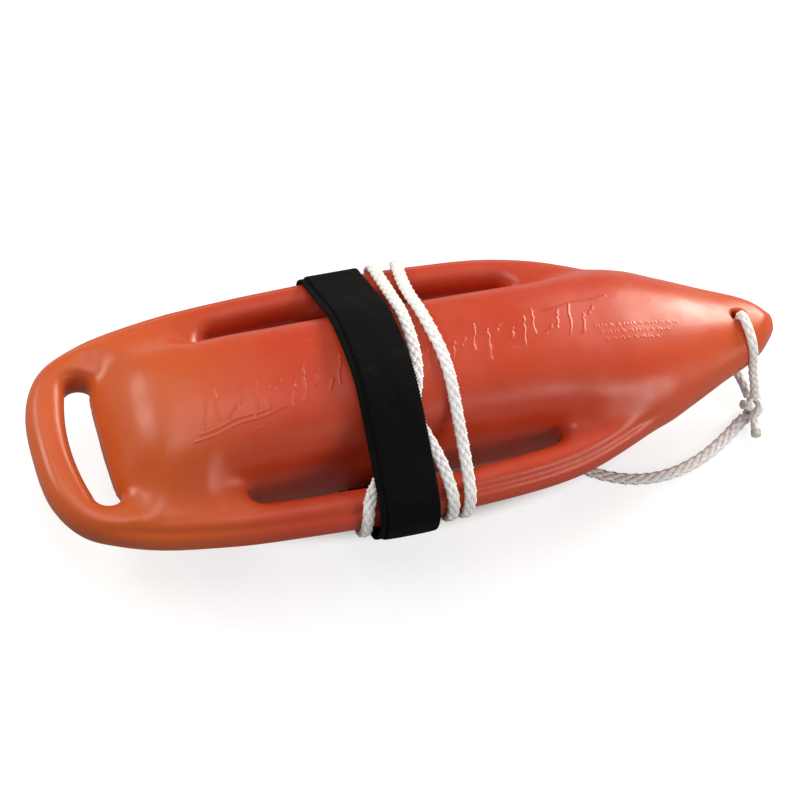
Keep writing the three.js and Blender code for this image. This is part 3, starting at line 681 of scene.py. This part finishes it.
def knot_line(centre, size, lean):
    """A closed-up overhand knot's centreline, a trefoil pressed into a lump of the given half sizes."""
    t = np.linspace(0, 2 * math.pi, 260)
    trefoil = np.column_stack([
        (2 + np.cos(3 * t)) * np.cos(2 * t) / 3,
        (2 + np.cos(3 * t)) * np.sin(2 * t) / 3,
        np.sin(3 * t),
    ])
    room = np.array(size) - LOOP_DIAMETER / 2
    turn = Matrix.Rotation(lean, 3, "X") @ Matrix.Rotation(0.5, 3, "Z")
    local = trefoil * room[None, :]
    return resample(local @ np.array(turn).T + np.array(centre), 0.0013)[0]


def make_knot(name, centre, size, lean, tail_end, nodes):
    line = knot_line(centre, size, lean)
    away = unit(line - np.array(centre))
    knot = braid_mesh(line, away, LOOP_DIAMETER / 2 - 0.0002, LOOP_DIAMETER / 2 - 0.0012)
    tail = resample(np.array([centre, (Vector(centre) + Vector(tail_end)) / 2, tail_end]), 0.0013)[0]
    up = np.tile([0.0, 0.1, 1.0], (len(tail), 1))
    stub = braid_mesh(tail, up, LOOP_DIAMETER / 2 - 0.0002, LOOP_DIAMETER / 2 - 0.0006)
    shift = len(knot[0])
    faces = knot[1] + [[v + shift for v in face] for face in stub[1]]
    piece = make_piece(name, np.vstack([knot[0], stub[0]]), faces, MATERIALS["rope"], nodes)
    set_uv(piece, "strand", np.vstack([knot[2], stub[2]]))
    return piece


def make_whipping(name, from_point, to_point, nodes):
    """Thread bound round a rope's end in close turns, with a rounded tip."""
    radius, length, turns = 0.0050, 0.007, 8
    axis = (Vector(to_point) - Vector(from_point)).normalized()
    start = Vector(to_point) + axis * 0.0003
    profile = [(0.0, 0.0), (radius * 0.8, 0.0)]
    for i in range(turns * 6 + 1):
        s = i / (turns * 6)
        bulge = abs(math.sin(math.pi * turns * s))
        profile.append((radius - 0.0005 + 0.0005 * bulge, length * (0.03 + 0.86 * s)))
    profile += [(radius * 0.8, length * 0.95), (radius * 0.45, length), (0.0, length)]
    return lathe_piece(name, profile, start, axis, MATERIALS["binding"], nodes)


def lathe_piece(name, profile, start, axis, material, nodes, sides=40):
    """profile is a list of radius and height; a radius of 0 at both ends closes it."""
    across = axis.orthogonal().normalized()
    other = axis.cross(across)
    turn = [2 * math.pi * j / sides for j in range(sides)]
    vertices, rows = [], []
    for r, h in profile:
        centre = start + axis * h
        if r == 0:
            rows.append([len(vertices)] * sides)
            vertices.append(centre)
            continue
        rows.append(list(range(len(vertices), len(vertices) + sides)))
        vertices += [centre + (across * math.cos(a) + other * math.sin(a)) * r for a in turn]
    faces = []
    for low, high in zip(rows[:-1], rows[1:]):
        for j in range(sides):
            k = (j + 1) % sides
            faces.append(list(dict.fromkeys([low[j], low[k], high[k], high[j]])))
    return make_piece(name, vertices, faces, material, nodes)


# ---- Shoulder strap ----
def strap_standoff(turn):
    over_rope = min(max((turn - 0.05) / 0.115, 0), 1)
    crossing = smooth_step(0.18, 0.28, turn) * (1 - smooth_step(0.44, 0.55, turn))
    return RIM_STANDOFF + (ROPE_LAYER - RIM_STANDOFF) * over_rope + (ROPE_THICKNESS + ROPE_GAP) * crossing


def strap_side(extra, count=240):
    """Middle line of one layer of the fold, as y and world z, and its outward normals."""
    points, normals = [], []
    for turn in np.linspace(STRAP_START, STRAP_END, count):
        point, normal = wrap_point(STRAP_X, turn, strap_standoff(turn) + extra)
        if point[2] < MID_Z - DOME_HALF_HEIGHT and abs(point[1]) < FOOT_HALF_WIDTH:
            point[2] = 2 * WEBBING_THICKNESS - extra
            normal = np.array([0.0, 0.0, -1.0])
        points.append(point)
        normals.append(normal)
    points, normals = np.array(points), soften(np.array(normals), 6)
    return resample(soften(points, 3), 0.0009, normals)


def strap_loop():
    """The folded webbing's whole middle line: along the outer layer, round the fold and back inside."""
    half = WEBBING_THICKNESS / 2
    outer, outer_normals = strap_side(3 * half)
    inner, inner_normals = strap_side(half)
    outer[:, 0] = STRAP_X + LAYER_SHIFT / 2
    inner[:, 0] = STRAP_X - LAYER_SHIFT / 2

    def opened(points, normals, way):
        """The layers part a little before each fold."""
        ends = lengths_along(points)
        near = np.minimum(ends, ends[-1] - ends)
        return points + way * normals * (0.0008 * (1 - smooth_step(0, 0.012, near)))[:, None]

    outer, inner = opened(outer, outer_normals, 1), opened(inner, inner_normals, -1)

    def fold(a, b, normal, onward):
        turn = np.linspace(0, math.pi, 9)[1:-1][:, None]
        middle, radius = (a + b) / 2, np.linalg.norm((a - b)[1:]) / 2
        shift = np.array([(b - a)[0] / 2, 0, 0])
        around = normal * np.cos(turn) + onward * np.sin(turn)
        return middle - shift * np.cos(turn) + radius * around, around

    ahead = unit(outer[-1] - outer[-2])
    end_points, end_normals = fold(outer[-1], inner[-1], outer_normals[-1], ahead)
    behind = unit(outer[0] - outer[1])
    start_points, start_normals = fold(outer[0], inner[0], outer_normals[0], behind)
    points = np.vstack([outer, end_points, inner[::-1], start_points[::-1]])
    normals = np.vstack([outer_normals, end_normals, -inner_normals[::-1], start_normals[::-1]])
    return points, unit(normals), len(outer)


def rope_lift(points, rope):
    """How far the webbing rises over the rope that it covers."""
    near = rope[np.abs(rope[:, 0] - STRAP_X) < 0.045][::3]
    lift = np.zeros(len(points))
    for start in range(0, len(points), 4000):
        part = points[start:start + 4000]
        gap = np.linalg.norm(part[:, None, :] - near[None], axis=2).min(1)
        lift[start:start + 4000] = 0.0011 * (1 - smooth_step(0.006, 0.017, gap)) - 0.0005
    return lift


def build_strap(rope):
    points, normals, outer_count = strap_loop()
    along = lengths_along(points)
    # Places across the webbing, with its rounded selvedges, on the outer face and back on the inner one
    inner_places = np.linspace(-0.93, 0.93, 23)
    shares = np.concatenate([[-0.985], inner_places, [0.985]])
    thinning = np.concatenate([[0.55], np.ones(len(inner_places)), [0.55]])
    half_width = WEBBING_WIDTH / 2
    edge = np.clip((np.abs(shares) - 0.9) / 0.085, 0, 1)
    pick = np.cos(2 * math.pi * along / WEAVE_PITCH)[:, None]
    across = shares * half_width + np.sign(shares) * edge * SELVEDGE_WAVE * pick
    weave = 0.00006 * pick * np.cos(math.pi * 11 * shares)
    outward_way = np.ones(len(points))
    outward_way[outer_count:] = -1
    middle = points[:, None, :] + across[..., None] * np.array([1.0, 0, 0])
    lift = rope_lift(middle.reshape(-1, 3), rope).reshape(across.shape)
    droop = 0.0007 * np.abs(shares) ** 3
    # It neither sags nor rises where it lies on the ground or on the left rim
    free = (smooth_step(0.004, 0.02, points[:, 2]) * (1 - smooth_step(0.08, 0.105, points[:, 1])))[:, None]
    moved = (lift - droop) * free * outward_way[:, None]
    sheet_middle = middle + moved[..., None] * normals[:, None]
    rise = (WEBBING_THICKNESS / 2 - 0.00005) * thinning + weave
    top = sheet_middle + rise[..., None] * normals[:, None]
    bottom = sheet_middle - rise[..., None] * normals[:, None]
    rings = np.concatenate([top[:, ::-1], bottom], axis=1)
    vertices = rings.reshape(-1, 3)
    vertices[:, 2] = np.maximum(vertices[:, 2], 0.00002)
    strap = make_piece(
        "webbing_strap", vertices, tube_faces(len(points), rings.shape[1], closed=True),
        MATERIALS["webbing"], ["shoulder_strap"],
    )
    both_faces = np.concatenate([across[:, ::-1], across], axis=1)
    set_uv(strap, "weave", np.stack(np.broadcast_arrays(both_faces, along[:, None]), -1).reshape(-1, 2))


def build_stitching():
    """A sewn box with a cross in it, as single stitches that sink at their ends."""
    width, length, pitch, radius = 0.038, 0.050, 0.0032, 0.00035
    corners = [(a * width / 2, b * length / 2) for a, b in ((-1, -1), (1, -1), (1, 1), (-1, 1))]
    runs = [(corners[i], corners[j]) for i, j in ((0, 1), (1, 2), (2, 3), (3, 0), (0, 2), (1, 3))]
    standoff = ROPE_LAYER + 2 * WEBBING_THICKNESS
    total = wrap_line(STRAP_X)[1][-1]
    vertices, faces = [], []
    for a, b in runs:
        a, b = np.array(a), np.array(b)
        count = round(np.linalg.norm(b - a) / pitch)
        for i in range(count):
            ends = [a + (b - a) * (i + s) / count for s in np.linspace(0.08, 0.92, 7)]
            line, outward = [], []
            for n, (across, round_way) in enumerate(ends):
                height = standoff + 0.0007 * math.sin(math.pi * n / 6) - 0.0002
                point, normal = wrap_point(STRAP_X, SEAM_TURN + round_way / total, height)
                point[0] += LAYER_SHIFT / 2 + across
                line.append(point)
                outward.append(normal)
            line, outward = np.array(line), np.array(outward)
            tangents = unit(np.gradient(line, axis=0))
            sideways = np.cross(tangents, outward)
            turn = (np.arange(6) * math.pi / 3)[None, :, None]
            around = np.cos(turn) * outward[:, None] + np.sin(turn) * sideways[:, None]
            ring = line[:, None] + radius * around
            faces += tube_faces(len(line), 6, len(vertices) * 42)
            vertices.append(ring.reshape(-1, 3))
    make_piece(
        "seam_stitches", np.vstack(vertices), faces, MATERIALS["thread"], ["strap_stitching"]
    )


# ---- Vent plug under the belly ----
def build_vent():
    belly = MID_Z - DOME_HALF_HEIGHT
    down = Vector((0, 0, -1))
    seal_top, seal_thickness, flange = belly - 0.0003, 0.0012, 0.0024
    seal_profile = [
        (0.0074, 0.0), (0.0096, 0.0), (0.0100, 0.0004), (0.0100, 0.0008), (0.0096, 0.0012), (0.0074, 0.0012),
        (0.0074, 0.0),
    ]
    plug_profile = [
        (0.0, -0.0078), (0.0060, -0.0078), (0.0066, -0.0072), (0.0066, 0.0), (0.0104, 0.0), (0.0110, 0.0006),
        (0.0110, flange - 0.0008), (0.0102, flange), (0.0078, flange), (0.0072, flange - 0.0003),
        (0.0, flange - 0.0003),
    ]
    top = Vector((VENT_X, 0, seal_top))
    lathe_piece("plug_seal", seal_profile, top, down, MATERIALS["seal"], ["vent_seal"])
    top.z -= seal_thickness + 0.0003
    plug = lathe_piece(
        "drain_plug", plug_profile, top, down, MATERIALS["plug"], ["vent_plug"]
    )
    bm = bmesh.new()
    bm.from_mesh(plug.data)
    bmesh.ops.recalc_face_normals(bm, faces=bm.faces)
    bm.to_mesh(plug.data)
    bm.free()


# ---- Materials ----
class Nodes:
    """Short names for building a node material."""

    def __init__(self, name):
        self.material = bpy.data.materials.new(name)
        self.material.use_nodes = True
        self.tree = self.material.node_tree
        self.shader = self.tree.nodes["Principled BSDF"]

    def add(self, kind, **values):
        node = self.tree.nodes.new(kind)
        for key, value in values.items():
            setattr(node, key, value)
        return node

    def link(self, start, end):
        self.tree.links.new(start, end)

    def put(self, socket, value):
        if isinstance(value, bpy.types.NodeSocket):
            self.link(value, socket)
        else:
            socket.default_value = value

    def math(self, operation, a, b=0.0):
        node = self.add("ShaderNodeMath", operation=operation)
        self.put(node.inputs[0], a)
        self.put(node.inputs[1], b)
        return node.outputs[0]

    def place(self):
        return self.add("ShaderNodeTexCoord").outputs["Object"]

    def parts(self, vector):
        node = self.add("ShaderNodeSeparateXYZ")
        self.link(vector, node.inputs[0])
        return node.outputs

    def uv(self, name):
        return self.add("ShaderNodeUVMap", uv_map=name).outputs[0]

    def noise(self, vector, scale, detail=3.0, roughness=0.5, stretch=None):
        if stretch:
            mapping = self.add("ShaderNodeMapping")
            self.link(vector, mapping.inputs["Vector"])
            mapping.inputs["Scale"].default_value = stretch
            vector = mapping.outputs[0]
        node = self.add("ShaderNodeTexNoise")
        self.link(vector, node.inputs["Vector"])
        node.inputs["Scale"].default_value = scale
        node.inputs["Detail"].default_value = detail
        node.inputs["Roughness"].default_value = roughness
        return node.outputs["Fac"]

    def between(self, value, low, high, to_low=0.0, to_high=1.0):
        node = self.add("ShaderNodeMapRange", interpolation_type="SMOOTHSTEP")
        for socket, number in zip(node.inputs[:5], (value, low, high, to_low, to_high)):
            self.put(socket, number)
        return node.outputs[0]

    def mix(self, factor, a, b):
        node = self.add("ShaderNodeMix", data_type="RGBA")
        self.put(node.inputs["Factor"], factor)
        for socket, colour in zip((node.inputs[6], node.inputs[7]), (a, b)):
            self.put(socket, colour if isinstance(colour, bpy.types.NodeSocket) else (*colour, 1))
        return node.outputs[2]

    def bump(self, height, distance, strength=1.0, under=None):
        node = self.add("ShaderNodeBump")
        node.inputs["Strength"].default_value = strength
        node.inputs["Distance"].default_value = distance
        self.link(height, node.inputs["Height"])
        if under is not None:
            self.link(under, node.inputs["Normal"])
        return node.outputs[0]

    def finish(self, colour, roughness, normal=None, **constants):
        self.put(self.shader.inputs["Base Color"], colour)
        self.put(self.shader.inputs["Roughness"], roughness)
        if normal is not None:
            self.link(normal, self.shader.inputs["Normal"])
        for key, value in constants.items():
            self.shader.inputs[key.replace("_", " ")].default_value = value
        return self.material


def hull_plastic():
    n = Nodes("hull_plastic")
    place = n.place()
    x, y, z = n.parts(place)
    # Painted light: the hull is oranger towards the rear and the nose and redder in the middle, a tint that
    # stands in for how the light warms those parts; slow noise shifts the border
    drift = n.noise(place, 5.0, 2.0)
    where = n.math("ADD", x, n.math("MULTIPLY", n.math("SUBTRACT", drift, 0.5), 0.16))
    rear = n.between(where, -0.12, -0.30)
    nose = n.between(where, 0.16, 0.33, 0.0, 0.55)
    painted_warm_light = n.math("MAXIMUM", rear, nose)
    colour = n.mix(painted_warm_light, (0.50, 0.046, 0.014), (0.58, 0.098, 0.015))
    mottle = n.between(n.noise(place, 38.0, 4.0), 0.42, 0.68, 0.0, 0.28)
    colour = n.mix(mottle, colour, (0.56, 0.072, 0.026))
    scuffs = n.between(n.noise(place, 60.0, 5.0, 0.6, (0.25, 3.0, 3.0)), 0.66, 0.74, 0.0, 0.30)
    colour = n.mix(scuffs, colour, (0.64, 0.17, 0.09))
    roughness = n.between(n.noise(place, 22.0, 4.0), 0.35, 0.7, 0.31, 0.43)
    roughness = n.math("ADD", roughness, n.math("MULTIPLY", scuffs, 0.35))
    grain = n.noise(place, 900.0, 2.0)
    normal = n.bump(grain, 0.00006, 0.55)
    peel = n.noise(place, 70.0, 2.0)
    normal = n.bump(peel, 0.0006, 0.25, normal)
    seam_height = n.math("ABSOLUTE", n.math("SUBTRACT", z, MID_Z))
    seam = n.between(seam_height, 0.0011, 0.0002)
    normal = n.bump(seam, 0.0005, 0.7, normal)
    return n.finish(colour, roughness, normal, IOR=1.5, Specular_IOR_Level=0.5)


def rope_braid():
    n = Nodes("rope_braid")
    place, uv = n.place(), n.uv("strand")
    u, v, _ = n.parts(uv)
    fibres = n.noise(uv, 22.0, 3.0, 0.65, (1.0, 6.0, 1.0))
    tone = n.between(n.noise(place, 55.0, 3.0), 0.3, 0.7)
    colour = n.mix(tone, (0.90, 0.885, 0.88), (0.96, 0.955, 0.95))
    shade = n.between(fibres, 0.38, 0.62, 0.0, 0.25)
    colour = n.mix(shade, colour, (0.80, 0.77, 0.76))
    lines = n.noise(uv, 40.0, 2.0, 0.5, (1.0, 2.0, 1.0))
    normal = n.bump(lines, 0.0005, 0.6)
    normal = n.bump(n.noise(place, 1500.0, 2.0), 0.00012, 0.5, normal)
    roughness = n.between(fibres, 0.3, 0.7, 0.5, 0.72)
    return n.finish(colour, roughness, normal, Sheen_Weight=0.15, Sheen_Roughness=0.5)


def strap_webbing():
    n = Nodes("strap_webbing")
    place, uv = n.place(), n.uv("weave")
    across, along, _ = n.parts(uv)
    rib = n.math("SINE", n.math("MULTIPLY", across, 2 * math.pi / 0.0021))
    slant = n.math("ADD", n.math("MULTIPLY", along, 2 * math.pi / WEAVE_PITCH), n.math("MULTIPLY", rib, 1.2))
    pick = n.math("SINE", slant)
    weave = n.math("ADD", n.math("MULTIPLY", rib, 0.35), n.math("MULTIPLY", pick, 0.5))
    fuzz = n.noise(place, 420.0, 3.0, 0.6)
    dust = n.between(n.noise(place, 34.0, 5.0, 0.65), 0.56, 0.74, 0.0, 0.45)
    colour = n.mix(n.between(fuzz, 0.35, 0.7), (0.0008, 0.0008, 0.0010), (0.0032, 0.0030, 0.0034))
    colour = n.mix(dust, colour, (0.010, 0.0095, 0.010))
    normal = n.bump(weave, 0.0003, 0.6)
    normal = n.bump(fuzz, 0.0003, 0.35, normal)
    return n.finish(colour, n.between(fuzz, 0.3, 0.7, 0.78, 0.95), normal, Specular_IOR_Level=0.12)


def plain_fibre(name, dark, light, scale, roughness):
    n = Nodes(name)
    place = n.place()
    strands = n.noise(place, scale, 4.0, 0.6)
    colour = n.mix(n.between(strands, 0.35, 0.65), dark, light)
    shine = n.between(strands, 0.3, 0.7, roughness - 0.1, roughness)
    return n.finish(colour, shine, n.bump(strands, 0.0002, 0.5))


def moulded(name, dark, light, roughness):
    n = Nodes(name)
    place = n.place()
    speckle = n.noise(place, 260.0, 4.0, 0.6)
    colour = n.mix(n.between(speckle, 0.35, 0.7), dark, light)
    normal = n.bump(n.noise(place, 700.0, 2.0), 0.0001, 0.4)
    return n.finish(colour, n.between(speckle, 0.3, 0.7, roughness - 0.08, roughness + 0.06), normal)


MATERIALS = {
    "hull": hull_plastic(),
    "rope": rope_braid(),
    "webbing": strap_webbing(),
    "thread": plain_fibre("strap_thread", (0.012, 0.012, 0.013), (0.035, 0.035, 0.037), 900.0, 0.7),
    "binding": plain_fibre("binding_thread", (0.55, 0.53, 0.49), (0.78, 0.75, 0.71), 700.0, 0.7),
    "plug": moulded("plug_plastic", (0.012, 0.012, 0.013), (0.028, 0.028, 0.030), 0.42),
    "seal": moulded("seal_rubber", (0.008, 0.008, 0.008), (0.018, 0.018, 0.018), 0.8),
}


# ---- Assembly: the cords first ----
tow_line, tow_outward = tow_route()
tow = make_rope("tow_line", tow_line, tow_outward, ROPE_WIDTH / 2, ROPE_THICKNESS / 2, ["tow_rope"])
loop_line, loop_outward = loop_route()
loop = make_rope("nose_eye", loop_line, loop_outward, LOOP_DIAMETER / 2, LOOP_DIAMETER / 2, ["nose_loop"])

strap_knot_centre = Vector(wrap_point(STRAP_X, KNOT_TURN, ROPE_LAYER + 0.0113)[0])
strap_tail_end = strap_knot_centre + STRAP_TAIL
nose_knot = make_knot("bow_knot", NOSE_KNOT, (0.015, 0.014, 0.0125), 0.0, NOSE_TAIL_END, ["nose_knot"])
strap_knot = make_knot(
    "strap_end_knot", strap_knot_centre, (0.015, 0.011, 0.011), 0.3, strap_tail_end, ["strap_knot"]
)
nose_whipping = make_whipping("bow_tail_binding", NOSE_KNOT, NOSE_TAIL_END, ["nose_tail_whipping"])
strap_whipping = make_whipping(
    "strap_tail_binding", strap_knot_centre, strap_tail_end, ["strap_tail_whipping"]
)

build_hull()
build_strap(tow_line)
build_stitching()
build_vent()


# ---- Stage and light ----
FLOOR_GLOW = 0.72
SHADE_CENTRE, SHADE_REACH = (-0.005, -0.01), (0.25, 0.095)  # an ellipse on the floor
WORLD_STRENGTH = 0.26
# Name, place, width, height, watts and colour
LIGHTS = [
    ("overhead", (-0.55, 0.25, 2.2), 1.8, 1.2, 19, (1.0, 0.97, 0.93)),
    ("rear_left", (-1.45, 1.05, 1.02), 1.0, 0.8, 17, (1.0, 0.95, 0.87)),
    ("nose_side", (1.60, 1.05, 0.98), 0.75, 0.65, 34, (1.0, 0.94, 0.84)),
    ("near_fill", (1.30, -1.35, 0.90), 1.2, 0.9, 18, (1.0, 0.94, 0.88)),
]


def make_stage():
    n = Nodes("stage_floor")
    place = n.place()
    tone = n.noise(place, 1.5, 2.0)
    x, y, _ = n.parts(place)
    # It looks like a lit sweep, but it lights nothing, and it is dark in the shade right under the hull
    across, along = (
        n.math("POWER", n.math("DIVIDE", n.math("SUBTRACT", value, centre), reach), 2.0)
        for value, centre, reach in zip((x, y), SHADE_CENTRE, SHADE_REACH)
    )
    lit = n.between(n.math("SQRT", n.math("ADD", across, along)), 0.72, 1.02, 0.0, FLOOR_GLOW)
    seen = n.add("ShaderNodeLightPath").outputs["Is Camera Ray"]
    n.link(n.math("MULTIPLY", seen, lit), n.shader.inputs["Emission Strength"])
    material = n.finish(
        n.mix(tone, (0.40, 0.40, 0.402), (0.42, 0.42, 0.42)), 0.9,
        Emission_Color=(1, 1, 1, 1), Specular_IOR_Level=0.0,
    )
    mesh = bpy.data.meshes.new("stage_floor")
    side = 14.0
    corners = [(-side, -side, 0), (side, -side, 0), (side, side, 0), (-side, side, 0)]
    mesh.from_pydata(corners, [], [(0, 1, 2, 3)])
    mesh.materials.append(material)
    floor = bpy.data.objects.new("stage_floor", mesh)
    floor.location.z = -0.0002
    bpy.context.scene.collection.objects.link(floor)


def make_light():
    world = bpy.data.worlds.new("soft_room")
    world.use_nodes = True
    background = world.node_tree.nodes["Background"]
    background.inputs["Color"].default_value = (1.0, 1.0, 1.0, 1)
    background.inputs["Strength"].default_value = WORLD_STRENGTH
    bpy.context.scene.world = world
    for name, place, width, height, power, colour in LIGHTS:
        data = bpy.data.lights.new(name, "AREA")
        data.shape = "RECTANGLE"
        data.size, data.size_y = width, height
        data.energy = power
        data.color = colour
        light = bpy.data.objects.new(name, data)
        bpy.context.scene.collection.objects.link(light)
        light.location = place
        light.rotation_mode = "QUATERNION"
        light.rotation_quaternion = (CENTRE - Vector(place)).to_track_quat("-Z", "Y")


make_stage()
make_light()
bpy.context.scene.view_settings.view_transform = "Standard"
